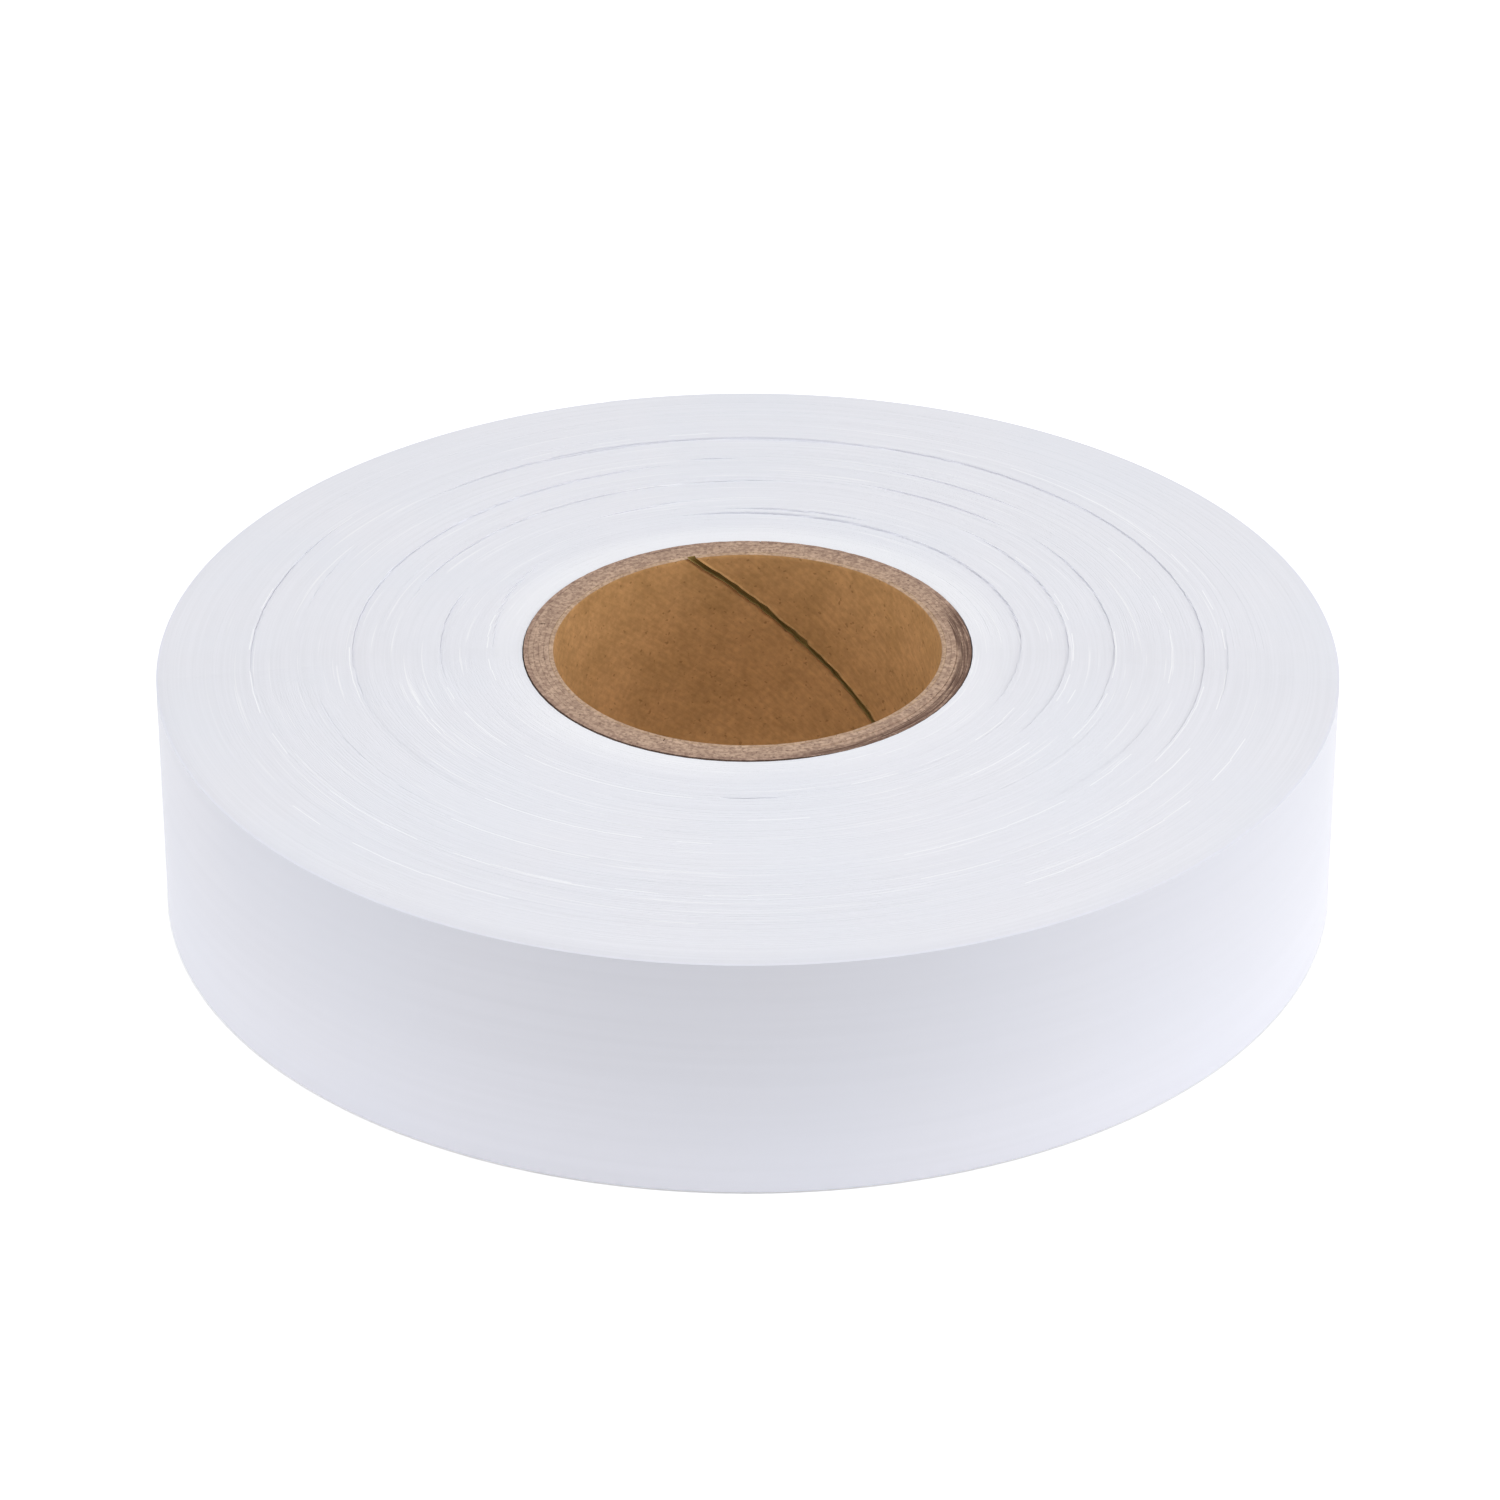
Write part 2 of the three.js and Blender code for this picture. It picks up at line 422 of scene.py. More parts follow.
@dataclass(frozen=True)
class FilmEdgeFinish:
    """The side of the wound film: slit edges, each turn a little lighter or darker than the next."""

    name: str = "film_edges"
    colour: Colour = (0.802, 0.804, 0.850)
    pale_colour: Colour = (0.95, 0.952, 0.97)
    pale_share: float = 0.42
    pale_least: float = 0.45
    pale_radius: Range = (0.0245, 0.028)
    pale_back: Range = (-0.1, 0.6)
    pale_side: float = 240.0
    pale_window: Range = (0.8, 0.98)
    turn_shade: float = 0.02
    turn_spread: float = 2.4
    turns_per_metre: float = 5200.0
    turn_relief: Range = (0.008, 0.5)
    patch_shade: float = 0.02
    patch_share: float = 0.5
    patches_per_metre: float = 55.0
    hair_highlight_share: float = 0.5
    hair_highlight_spread: float = 2.6
    hair_highlight_levels: Range = (0.67, 0.72)
    hair_highlight_radius: Range = (0.050, 0.057)
    hair_highlights_per_metre: float = 4600.0
    roughness: Range = (0.42, 0.55)
    specular: float = 0.4

    def material(self) -> bpy.types.Material:
        """Builds the material, lighter near the core and most so at the back and towards 240 degrees, with
        fine painted highlights along the turns.

        Returns:
            The material.
        """
        sheet = NodeSheet(self.name, self.roughness[0], self.specular)
        radius, *way, _ = sheet.around()
        turns = sheet.drawn_noise(way, self.turn_spread, radius, self.turns_per_metre)
        patches = sheet.noise(sheet.place, self.patches_per_metre, 3.0)
        streaked = sheet.mix(sheet.span(turns, *MOST_NOISE), *shades(self.colour, self.turn_shade))
        patched = sheet.span(patches, *UPPER_NOISE, 0.0, self.patch_share)
        body = sheet.mix(patched, streaked, cooled(self.colour, self.patch_shade))
        # Lighter band near the core, full at the back and towards 240 degrees, about half as strong
        # elsewhere
        back = sheet.span(way[1], *self.pale_back, self.pale_least)
        front = sheet.span(sheet.facing(way, self.pale_side), *self.pale_window, self.pale_least)
        inner = sheet.span(radius, *self.pale_radius, self.pale_share, 0.0)
        pale_band = sheet.math("MULTIPLY", sheet.math("MAXIMUM", back, front), inner)
        near = sheet.mix(pale_band, body, self.pale_colour)
        # The fine pale hairs along the turns are painted highlights, fading out towards the rim
        fine = sheet.drawn_noise(way, self.hair_highlight_spread, radius, self.hair_highlights_per_metre, 1.0)
        hair_highlights = sheet.span(fine, *self.hair_highlight_levels, 0.0, self.hair_highlight_share)
        inward = sheet.span(radius, *self.hair_highlight_radius, 1.0, 0.0)
        colour = sheet.mix(sheet.math("MULTIPLY", hair_highlights, inward), near, self.pale_colour)
        sheet.bump(turns, *self.turn_relief)
        return sheet.finish(colour, sheet.span(patches, *MOST_NOISE, *self.roughness))


@dataclass(frozen=True)
class FilmFaceFinish:
    """The broad face of the film: satin, with faint drawing lines along the strip."""

    name: str = "film_face"
    colour: Colour = (0.802, 0.805, 0.868)
    line_shade: float = 0.010
    line_spread: float = 1.2
    line_relief: float = 0.12
    lines_per_metre: float = 900.0
    patch_shade: float = 0.012
    patch_share: float = 0.6
    patches_per_metre: float = 34.0
    relief: Range = (0.05, 0.5)
    roughness: Range = (0.34, 0.42)
    specular: float = 0.25

    def material(self) -> bpy.types.Material:
        """Builds the material.

        Returns:
            The material.
        """
        sheet = NodeSheet(self.name, self.roughness[0], self.specular)
        _, *way, height = sheet.around()
        lines = sheet.drawn_noise(way, self.line_spread, height, self.lines_per_metre)
        patches = sheet.noise(sheet.place, self.patches_per_metre, 2.0)
        lined = sheet.mix(sheet.span(lines, *MOST_NOISE), *shades(self.colour, self.line_shade))
        patched = sheet.span(patches, *UPPER_NOISE, 0.0, self.patch_share)
        colour = sheet.mix(patched, lined, cooled(self.colour, self.patch_shade))
        ridges = sheet.math("MULTIPLY", lines, self.line_relief)
        sheet.bump(sheet.math("ADD", ridges, patches), *self.relief)
        return sheet.finish(colour, sheet.span(patches, *MOST_NOISE, *self.roughness))


@dataclass(frozen=True)
class KraftFinish:
    """Brown kraft paper: fibres along the strip, soft mottling and a few dark specks."""

    name: str = "kraft_liner"
    light: Colour = (0.545, 0.302, 0.125)
    dark: Colour = (0.45, 0.248, 0.094)
    speck: Colour = (0.22, 0.11, 0.04)
    fibre_shade: float = 0.06
    fibre_relief: float = 0.4
    fibres_per_metre: Range = (420.0, 2600.0)
    grain_shade: float = 0.09
    grains_per_metre: float = 1500.0
    mottles_per_metre: float = 240.0
    speck_levels: Range = (0.66, 0.76)
    speck_share: float = 0.6
    specks_per_metre: float = 1900.0
    strip_angle: float = 50.0
    bore_radius: float = 20.0
    relief: Range = (0.035, 0.6)
    roughness: Range = (0.72, 0.9)
    plain_roughness: float = 0.8
    specular: float = 0.3

    def material(self) -> bpy.types.Material:
        """Builds the material.

        Returns:
            The material.
        """
        sheet = NodeSheet(self.name, self.plain_roughness, self.specular)
        x, y, height = sheet.parts()
        arc = sheet.math("MULTIPLY", sheet.math("ARCTAN2", x, y), self.bore_radius * MM)
        slope = math.radians(self.strip_angle)
        along = self.turned(sheet, arc, height, math.sin(slope), -math.cos(slope))
        across = self.turned(sheet, arc, height, math.cos(slope), math.sin(slope))
        pairs = zip((along, across), self.fibres_per_metre)
        length, breadth = (sheet.math("MULTIPLY", distance, waves) for distance, waves in pairs)
        fibres = sheet.noise(sheet.vector(length, breadth, 0.0), 1.0, 4.0)
        mottle = sheet.noise(sheet.place, self.mottles_per_metre, 5.0)
        grain = sheet.noise(sheet.place, self.grains_per_metre, 3.0)
        specks = sheet.noise(sheet.place, self.specks_per_metre, 1.0)
        brown = sheet.mix(sheet.span(mottle, *MOST_NOISE), self.dark, self.light)
        fibred = sheet.mix(1.0, brown, self.shading(sheet, fibres, self.fibre_shade), "MULTIPLY")
        grained = sheet.mix(1.0, fibred, self.shading(sheet, grain, self.grain_shade), "MULTIPLY")
        specked = sheet.span(specks, *self.speck_levels, 0.0, self.speck_share)
        colour = sheet.mix(specked, grained, self.speck)
        ridges = sheet.math("MULTIPLY", fibres, self.fibre_relief)
        sheet.bump(sheet.math("ADD", grain, ridges), *self.relief)
        return sheet.finish(colour, sheet.span(mottle, *MOST_NOISE, *self.roughness))

    @staticmethod
    def turned(sheet: NodeSheet, arc: Socket, height: Socket, first: float, second: float) -> Socket:
        """A distance on the paper along a slanting line."""
        return sheet.math("ADD", sheet.math("MULTIPLY", arc, first), sheet.math("MULTIPLY", height, second))

    @staticmethod
    def shading(sheet: NodeSheet, noise: Socket, shade: float) -> Socket:
        """A grey round 1 that follows a noise.

        Args:
            sheet: The sheet of nodes.
            noise: The noise.
            shade: How far the grey departs from 1.

        Returns:
            The grey, as a colour.
        """
        darker = scaled((1.0, 1.0, 0.98), 1.0 - shade)
        lighter = scaled((1.0, 1.0, 1.0), 1.0 + shade)
        return sheet.mix(sheet.span(noise, *MOST_NOISE), darker, lighter)


@dataclass(frozen=True)
class BoardFinish:
    """Chipboard or paper seen at its cut edge: a dense speckle of light and dark fibres."""

    name: str
    light: Colour
    dark: Colour
    fleck: Colour = (0.13, 0.075, 0.055)
    fleck_levels: Range = (0.62, 0.74)
    fleck_share: float = 0.6
    flecks_per_metre: float = 2900.0
    speckle_levels: Range = (0.33, 0.67)
    speckles_per_metre: float = 2500.0
    cloud_levels: Range = (0.3, 0.75)
    cloud_share: float = 0.45
    clouds_per_metre: float = 620.0
    worn_side: float = 332.0
    worn_window: Range = (0.58, 0.74)
    worn_radius: float = 0.02133
    worn_slant: float = 0.0009
    worn_edge: Range = (-0.00008, 0.00012)
    worn_levels: Range = (0.36, 0.56)
    worn_shades: Range = (0.2, 0.9)
    streak_spread: float = 5.0
    streaks_per_metre: float = 7600.0
    relief: Range = (0.06, 0.8)
    roughness: float = 0.92
    specular: float = 0.2

    def material(self) -> bpy.types.Material:
        """Builds the material, with dark streaks between the strips where the edge is worn.

        Returns:
            The material.
        """
        sheet = NodeSheet(self.name, self.roughness, self.specular)
        radius, *way, _ = sheet.around()
        speckle = sheet.noise(sheet.place, self.speckles_per_metre, 3.0)
        cloud = sheet.noise(sheet.place, self.clouds_per_metre, 3.0)
        flecks = sheet.noise(sheet.place, self.flecks_per_metre, 1.0)
        body = sheet.mix(sheet.span(speckle, *self.speckle_levels), self.dark, self.light)
        clouded = sheet.mix(sheet.span(cloud, *self.cloud_levels, 0.0, self.cloud_share), body, self.dark)
        spotted = sheet.span(flecks, *self.fleck_levels, 0.0, self.fleck_share)
        flecked = sheet.mix(spotted, clouded, self.fleck)
        slanted = sheet.math("MULTIPLY", way[1], self.worn_slant)
        inside = sheet.math("ADD", sheet.math("SUBTRACT", radius, self.worn_radius), slanted)
        nearness = sheet.span(sheet.facing(way, self.worn_side), *self.worn_window)
        place = sheet.math("MULTIPLY", nearness, sheet.span(inside, *self.worn_edge))
        drawn = sheet.drawn_noise(way, self.streak_spread, inside, self.streaks_per_metre, 2.0)
        streaks = sheet.span(drawn, *self.worn_levels, *self.worn_shades)
        colour = sheet.mix(sheet.math("MULTIPLY", place, streaks), flecked, self.fleck)
        sheet.bump(sheet.math("ADD", speckle, flecks), *self.relief)
        return sheet.finish(colour)


@dataclass(frozen=True)
class GlueFinish:
    """Dried glue: pale and clear on its own, dark where it has soaked into board. The stain in the liner's
    seam is also painted shade.
    """

    name: str
    thin: Colour
    thick: Colour
    roughness: float
    specular: float = 0.4
    lumps_per_metre: float = 500.0
    relief: Range = (0.05, 0.5)

    def material(self) -> bpy.types.Material:
        """Builds the material.

        Returns:
            The material.
        """
        sheet = NodeSheet(self.name, self.roughness, self.specular)
        lumps = sheet.noise(sheet.place, self.lumps_per_metre, 4.0)
        sheet.bump(lumps, *self.relief)
        return sheet.finish(sheet.mix(sheet.span(lumps, *MOST_NOISE), self.thin, self.thick))


FILM_EDGES = FilmEdgeFinish()
# A whiter copy of the film's edges, a painted highlight on the turns' upper edges
EDGE_HIGHLIGHT = FilmEdgeFinish("film_edge_painted_highlights", (0.93, 0.932, 0.955))
FILM_FACE = FilmFaceFinish()
KRAFT = KraftFinish()
KRAFT_EDGE = BoardFinish("kraft_cut_edge", (0.61, 0.43, 0.3), (0.4, 0.265, 0.18))
CHIPBOARD_INNER = BoardFinish("chipboard_inner", (0.59, 0.417, 0.305), (0.335, 0.222, 0.163))
CHIPBOARD_OUTER = BoardFinish("chipboard_outer", (0.57, 0.403, 0.297), (0.322, 0.213, 0.158))
COVER_PAPER = BoardFinish("cover_paper", (0.515, 0.357, 0.27), (0.28, 0.18, 0.136))
# Nearly black outer face of the cover: painted shade for the gap between the core and the film
COVER_FACE_SHADE = BoardFinish("cover_face_painted_shade", (0.16, 0.105, 0.08), (0.09, 0.056, 0.043))
# Dark glue stain, made darker than the glue alone as painted shade in the liner's seam gap
GLUE_STAIN_AND_SHADE = GlueFinish("glue_stain_and_painted_shade", (0.30, 0.205, 0.058), (0.23, 0.158, 0.043), 0.7)
DRIED_GLUE = GlueFinish("dried_glue", (0.70, 0.64, 0.45), (0.62, 0.55, 0.34), 0.3)


class PlyRole(Enum):
    """What a strip of paper does in the core's wall."""

    LINER = "liner"
    INNER_BOARD = "inner board"
    OUTER_BOARD = "outer board"
    COVER = "cover"


@dataclass(frozen=True)
class Ply:
    """One strip of the core's wall: its CAD node, its role and its place in the wall."""

    node: str
    role: PlyRole
    place: int


@dataclass
class PaperCore:
    """The paper core: strips wound edge to edge on a slant, glued to each other."""

    height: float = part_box("core_liner")[1].z / MM
    seam_angle: float = 16.8
    seam_stagger: float = 140.0
    seam_lead: float = 106.8
    seam_width: float = 0.52
    board_seam_width: float = 0.06
    seam_ragged: float = 0.26
    seam_stretch: float = 300.0
    seam_waves: tuple[int, int] = (4, 34)
    seam_seeds: tuple[int, int] = (10, 30)
    columns: int = 240
    rows: int = 52
    clearance: float = 0.002
    foot_height: float = 0.02
    liner_lip: float = 0.12
    lip_drop: float = 0.6
    corner: float = 0.012
    corner_middle: float = 0.3
    frayed_corner: float = 0.1
    frayed_side: float = 332.0
    frayed_window: Range = (0.62, 0.82)
    frayed_dip: float = 0.07 / 3.0
    cut_roughness: float = 0.018
    cut_waves: tuple[int, int] = (20, 150)
    cut_seed: int = 50
    glue_thickness: float = 0.05
    glue_gap: float = 0.004
    glue_half_angle: float = 18.0
    glue_grid: tuple[int, int] = (41, 25)
    glue_wander: float = 1.6
    glue_sway: float = 0.5
    glue_sway_stretch: float = 160.0
    glue_waves: tuple[tuple[int, int, int], ...] = ((71, 2, 14), (72, 2, 12))
    plies: tuple[Ply, ...] = (
        Ply("core_liner", PlyRole.LINER, 0),
        Ply("core_ply_1", PlyRole.INNER_BOARD, 1),
        Ply("core_ply_2", PlyRole.INNER_BOARD, 2),
        Ply("core_ply_3", PlyRole.OUTER_BOARD, 3),
        Ply("core_ply_4", PlyRole.OUTER_BOARD, 4),
        Ply("core_cover", PlyRole.COVER, 5),
    )

    def build(self) -> list[bpy.types.Object]:
        """Builds and dresses every strip and the line of glue.

        Returns:
            The pieces.
        """
        return [self.strip(ply) for ply in self.plies] + [self.pickup_glue()]

    def fray(self, angle: np.ndarray) -> np.ndarray:
        """How frayed the cut edge is at each angle, from 0 to 1."""
        far, near = self.frayed_window
        return smooth_step((np.cos(np.radians(angle - self.frayed_side)) - far) / (near - far))

    def strip(self, ply: Ply) -> bpy.types.Object:
        """Builds one strip as a closed band with a slanting gap where its edges meet.

        Args:
            ply: Which strip.

        Returns:
            The dressed piece.
        """
        inner, outer = ring_radii(ply.node)
        section = self.section(ply, inner, outer)
        columns, sides = section.shape[:2]
        low = np.arange(self.rows + 2)
        across = np.stack([low, sides - 1 - low, sides - 2 - low, low + 1], -1)
        last = (columns - 1) * sides
        faces = np.concatenate([band_faces(columns, sides), across, across[:, ::-1] + last])
        piece = make_piece(f"{ply.node}_strip", section, faces)
        self.dress(piece, ply, sides)
        return piece

    def section(self, ply: Ply, inner: float, outer: float) -> np.ndarray:
        """Points of a strip, column by column round the core.

        Args:
            ply: Which strip.
            inner: Radius of its inner face.
            outer: Radius of its outer face.

        Returns:
            Points by column, and in a column up the inner face and down the outer one.
        """
        levels = np.linspace(0.0, 1.0, self.rows + 1)
        climb = 360.0 / self.seam_lead
        slant = math.hypot(1.0, math.radians(climb) * inner)
        width = self.seam_width if ply.role is PlyRole.LINER else self.board_seam_width
        half_gap = math.degrees(width / 2.0 * slant / inner)
        spread = levels * self.seam_stretch
        ragged = [ring_noise(spread, seed + ply.place, *self.seam_waves) for seed in self.seam_seeds]
        near, far = (half_gap * (1.0 + self.seam_ragged * noise) for noise in ragged)
        share = np.linspace(0.0, 1.0, self.columns + 1)[:, None]
        foot = self.seam_angle + ply.place * self.seam_stagger
        angle = foot + climb * levels * self.height + near + share * (360.0 - near - far)
        top_angle = angle[:, -1:]
        can_fray = ply.role in (PlyRole.OUTER_BOARD, PlyRole.COVER)
        frayed = self.fray(top_angle) if can_fray else 0.0 * top_angle
        corner = self.corner + (self.frayed_corner - self.corner) * frayed
        teeth = ring_noise(top_angle, self.cut_seed + ply.place, *self.cut_waves)
        rough = self.cut_roughness * np.abs(teeth)
        top = self.height - self.clearance - rough - self.frayed_dip * ply.place * frayed
        lip = np.full_like(corner, self.liner_lip) if ply.role is PlyRole.LINER else corner
        drop = self.lip_drop * lip
        wall_angle = angle[:, 1:-1]
        wall_height = lip + levels[1:-1] * (top - drop - lip)
        inside = self.side(angle, wall_angle, wall_height, top, drop, inner, lip)
        outside = self.side(angle, wall_angle, wall_height, top, np.minimum(drop, corner), outer, -corner)
        return np.concatenate([inside, outside[:, ::-1]], 1)

    def side(
        self,
        angle: np.ndarray,
        wall_angle: np.ndarray,
        wall_height: np.ndarray,
        top: np.ndarray,
        drop: np.ndarray,
        radius: float,
        rounding: np.ndarray,
    ) -> np.ndarray:
        """One face of a strip with its rounded corners, from the foot to the top.

        Args:
            angle: Angles by column and level.
            wall_angle: The same without the first and last level.
            wall_height: Heights by column and level, without the first and last level.
            top: Height of the cut edge by column.
            drop: How far the upper corner's rounding reaches down, by column.
            radius: The face's radius.
            rounding: How far the corners move the face, by column.

        Returns:
            Points by column and level, two more than the angles have.
        """
        foot_angle, top_angle = angle[:, :1], angle[:, -1:]
        low, high = radius + oval(foot_angle), radius + oval(top_angle)
        foot = [polar(low + rounding, foot_angle, self.clearance), polar(low, foot_angle, self.foot_height)]
        wall = polar(radius + oval(wall_angle), wall_angle, wall_height)
        head = [
            polar(high, top_angle, top - drop),
            polar(high + self.corner_middle * rounding, top_angle, top - self.corner_middle * drop),
            polar(high + rounding, top_angle, top),
        ]
        return np.concatenate([*foot, wall, *head], 1)

    def dress(self, piece: bpy.types.Object, ply: Ply, sides: int) -> None:
        """Gives a strip its finishes, keeps its cut corners sharp and ties it to the frame.

        Args:
            piece: The strip.
            ply: What it is.
            sides: Points in one of its columns.
        """
        finishes = {
            PlyRole.LINER: (KRAFT, KRAFT_EDGE, "kraft_liner"),
            PlyRole.INNER_BOARD: (CHIPBOARD_INNER, CHIPBOARD_INNER, "chipboard"),
            PlyRole.OUTER_BOARD: (CHIPBOARD_OUTER, CHIPBOARD_OUTER, "chipboard"),
            PlyRole.COVER: (COVER_FACE_SHADE, COVER_PAPER, "core_cover_paper"),
        }
        face, edge, slot = finishes[ply.role]
        # The first board's inner face, seen through the liner's seam, and the seam's walls get the glue
        # stain with painted shade
        if ply.place == 1:
            face = GLUE_STAIN_AND_SHADE
        seam = GLUE_STAIN_AND_SHADE if ply.role is PlyRole.LINER else edge
        for finish in (face, edge, seam):
            piece.data.materials.append(finish.material())
        half = sides // 2
        place = np.arange(len(piece.data.vertices)) % sides
        corner_of = np.where(np.isin(place, (0, half - 1, half, sides - 1)), place, -1)
        sharpen(piece, corner_of)
        quads = np.arange(len(piece.data.polygons))
        band = quads < self.columns * sides
        cut = np.isin(quads % sides, (half - 1, half - 2, half - 3, half, half + 1, sides - 1))
        outer_face = (quads % sides >= half) & (ply.place == 1)
        finish = np.where(band, cut | outer_face, 2).astype(np.int32)
        piece.data.polygons.foreach_set("material_index", finish)
        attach(piece, "roll")
        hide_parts(ply.node)

    def pickup_glue(self) -> bpy.types.Object:
        """Builds the thin, uneven line of glue under the film's first turn.

        Returns:
            The dressed piece.
        """
        low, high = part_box("pickup_glue")
        middle = math.degrees(math.atan2(low.y + high.y, low.x + high.x))
        share = np.linspace(-1.0, 1.0, self.glue_grid[0])[:, None]
        level = np.linspace(0.0, 1.0, self.glue_grid[1])
        wander = self.glue_wander * ring_noise(level * self.seam_stretch, *self.glue_waves[0])
        angle = middle + self.glue_half_angle * share + wander
        inner = ring_radii("core_cover")[1] + self.glue_gap + oval(angle)
        base, top = low.z / MM, high.z / MM
        sway = self.glue_sway * ring_noise(share * self.glue_sway_stretch, *self.glue_waves[1])
        height = base + level * (top - base) + sway
        shells = [polar(inner, angle, height), polar(inner + self.glue_thickness, angle, height)]
        faces = slab_faces(share.size, level.size)
        piece = make_piece("pickup_glue_line", np.stack(shells), faces)
        piece.data.materials.append(DRIED_GLUE.material())
        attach(piece, "roll")
        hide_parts("pickup_glue")
        return piece


def slab_faces(columns: int, rows: int) -> np.ndarray:
    """Faces of a thin bent slab made of an inner and an outer grid of points.

    Args:
        columns: Points along the slab, counter-clockwise round the roll.
        rows: Points up the slab.

    Returns:
        Quads that close the slab, facing out.
    """
    number = np.arange(columns * rows).reshape(columns, rows)
    corners = [number[:-1, :-1], number[1:, :-1], number[1:, 1:], number[:-1, 1:]]
    quads = np.stack(corners, -1).reshape(-1, 4)
    back = columns * rows
    rim = np.concatenate([number[:-1, 0], number[-1, :-1], number[:0:-1, -1], number[0, :0:-1]])
    after = np.roll(rim, -1)
    sides = np.stack([rim, after, after + back, rim + back], -1)
    return np.concatenate([quads[:, ::-1], quads + back, sides])


@dataclass(frozen=True)
class SideLine:
    """A line round the roll's side. Knots are pairs of angle and radius, with the angles rising."""

    knots: tuple[tuple[float, float], ...]
    ease: ClassVar[float] = 16.0

    def follow(self, radius: np.ndarray, angle: np.ndarray) -> tuple[np.ndarray, np.ndarray]:
        """Where places on the side lie from the line.

        Args:
            radius: Radius of the turns before they are set off centre.
            angle: Angles.

        Returns:
            How far outside the line each place is, and a share that is 1 along the line and 0 past
            its ends.
        """
        places, radii = np.array(self.knots).T
        span = places[-1] - places[0]
        along = (angle - places[0]) % 360.0
        fade = eased(along, span, min(self.ease, span / 3.0))
        return radius - np.interp(along, places - places[0], radii), fade


@dataclass(frozen=True)
class SideShift(SideLine):
    """A line where the film wandered sideways as it was wound.

    The turns outside the line stand higher than those inside it, and the turns at its foot are drawn in.
    """

    height: float
    turns: float = 1.0
    slit: float = 0.0
    reach: ClassVar[Range] = (4.0, 2.0)
    groove: ClassVar[Range] = (0.24, 0.26)

    def relief(self, radius: np.ndarray, angle: np.ndarray, pitch: float) -> np.ndarray:
        """Height that the line adds to the film's edge.

        Args:
            radius: Radius of the turns before they are set off centre.
            angle: Angles.
            pitch: Radius gained in one turn.

        Returns:
            Heights in millimetres.
        """
        beyond, fade = self.follow(radius, angle)
        outside = np.exp(-np.abs(beyond) / self.reach[0])
        inside = -np.exp(-np.abs(beyond) / self.reach[1])
        step = self.height / 2.0 * np.where(beyond >= 0.0, outside, inside)
        backward = smooth_step(np.sin(np.radians(angle)) + 1.0)
        depth = self.slit + self.height * (self.groove[0] + self.groove[1] * backward)
        groove = np.where((beyond < 0.0) & (beyond >= -self.turns * pitch), depth, 0.0)
        return fade * (step - groove)


@dataclass(frozen=True)
class HighlightLine(SideLine):
    """A line along one turn whose upper edge is painted white as a highlight, in broken dashes."""

    dash_waves: ClassVar[tuple[int, int]] = (8, 36)
    dash_level: ClassVar[float] = -0.5

    def covers(self, radius: np.ndarray, angle: np.ndarray, pitch: float, seed: int) -> np.ndarray:
        """Which places belong to the line.

        Args:
            radius: Radius of the middle of the turns before they are set off centre.
            angle: Angles.
            pitch: Radius gained in one turn.
            seed: Which pattern of dashes.

        Returns:
            True where the highlight is painted.
        """
        beyond, fade = self.follow(radius, angle)
        dashes = ring_noise(angle, seed, *self.dash_waves) > self.dash_level
        return (np.abs(beyond) <= 0.5 * pitch) & (fade > 0.0) & dashes


SIDE_SHIFTS = tuple(SideShift(*line) for line in (
    (((-33, 46.8), (10, 46.85), (40, 46.75), (60, 46.65), (75, 46.5), (110, 46.45), (139, 46.6)), 0.17),
    (((73, 46.4), (98, 46.4)), 0.12, 2.0),
    (((100, 46.3), (123, 46.35)), 0.09),
    (((143, 50.35), (170, 50.25), (194, 50.2)), 0.16),
    (((99, 40.6), (123, 40.3), (143, 40.0), (190, 39.85), (229, 39.9)), 0.18),
    (((187, 44.1), (200, 44.15), (231, 44.7)), 0.09),
    (((307, 43.6), (349, 43.6)), 0.11),
    (((46, 41.5), (71, 41.4)), 0.12),
    (((90, 41.5), (100, 41.5)), 0.12),
    (((333, 37.75), (350, 37.65), (370, 37.7), (385, 37.85), (402, 38.0)), 0.16),
    (((44, 37.45), (72, 37.4)), 0.14),
    (((79, 36.35), (100, 36.1), (125, 36.0), (145, 35.85), (167, 35.75)), 0.13),
    (((298, 38.9), (320, 38.95), (344, 39.0)), 0.10),
    (((322, 32.9), (350, 32.95), (370, 33.1), (386, 33.35), (403, 33.8), (411, 34.2)), 0.17),
    (((330, 27.6), (350, 27.9), (379, 28.5), (403, 28.8), (423, 29.0), (443, 29.2), (466, 29.25)), 0.2),
    (((65, 30.0), (80, 29.85), (95, 30.0)), 0.15),
    (((153, 31.25), (195, 31.15)), 0.16),
    (((302, 30.55), (336, 30.3)), 0.10),
    (((265, 31.05), (276, 31.05)), 0.04, 2.0, 0.3),
    (((135, 28.4), (152, 27.3), (165, 26.4), (176, 26.0), (189, 26.0)), 0.12),
    (((97, 32.6), (110, 31.9), (122, 31.75)), 0.08),
    (((152, 45.8), (172, 45.6)), 0.08),
    (((344, 49.2), (365, 49.15)), 0.12),
))

